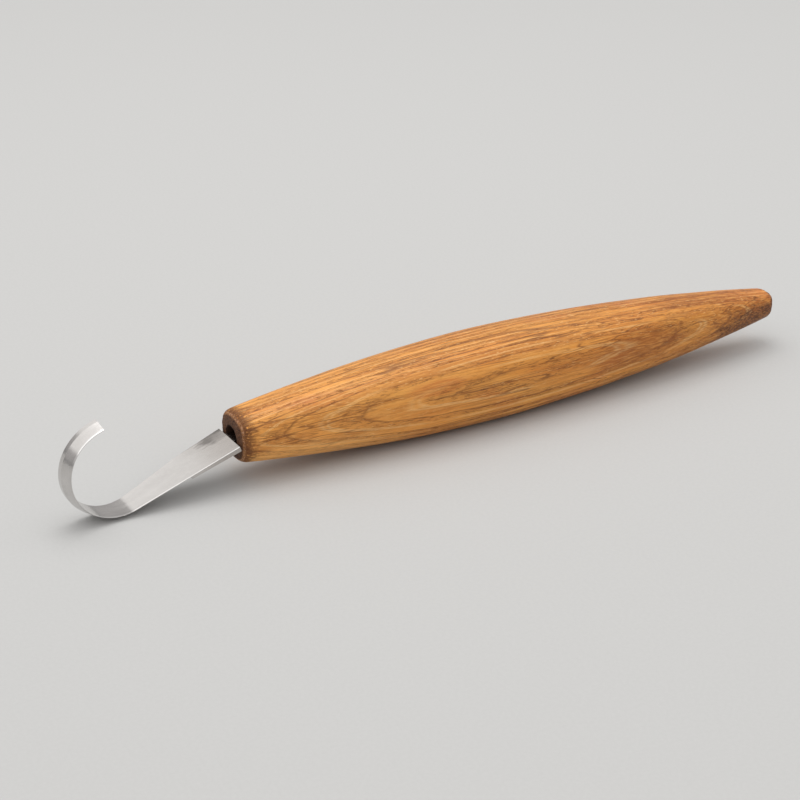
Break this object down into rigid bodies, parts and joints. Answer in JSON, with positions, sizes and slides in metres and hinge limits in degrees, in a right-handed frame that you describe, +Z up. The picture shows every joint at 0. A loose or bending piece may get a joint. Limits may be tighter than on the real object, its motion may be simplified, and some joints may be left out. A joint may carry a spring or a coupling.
{
  "type": "hook knife",
  "caption": "Woodcarving hook knife: bevelled steel blade bent round into a hook, its tang bonded into a spindle-shaped oiled oak handle.",
  "frame": {"origin": "on the bench below the middle of the whole knife, which lies on its hook and on the belly of its handle", "axes": "+X along the handle from the hook to the tail, cutting edge facing -Y, +Z up"},
  "size_m": [0.2614, 0.0288, 0.0318],
  "materials": {
    "handle_oak": "oiled, satin",
    "blade_steel": "satin ground",
    "adhesive": "dull"
  },
  "bodies": {
    "root": {"handle": "handle_oak", "hook_blade": "blade_steel", "tang_adhesive": "adhesive"}
  },
  "joints": []
}
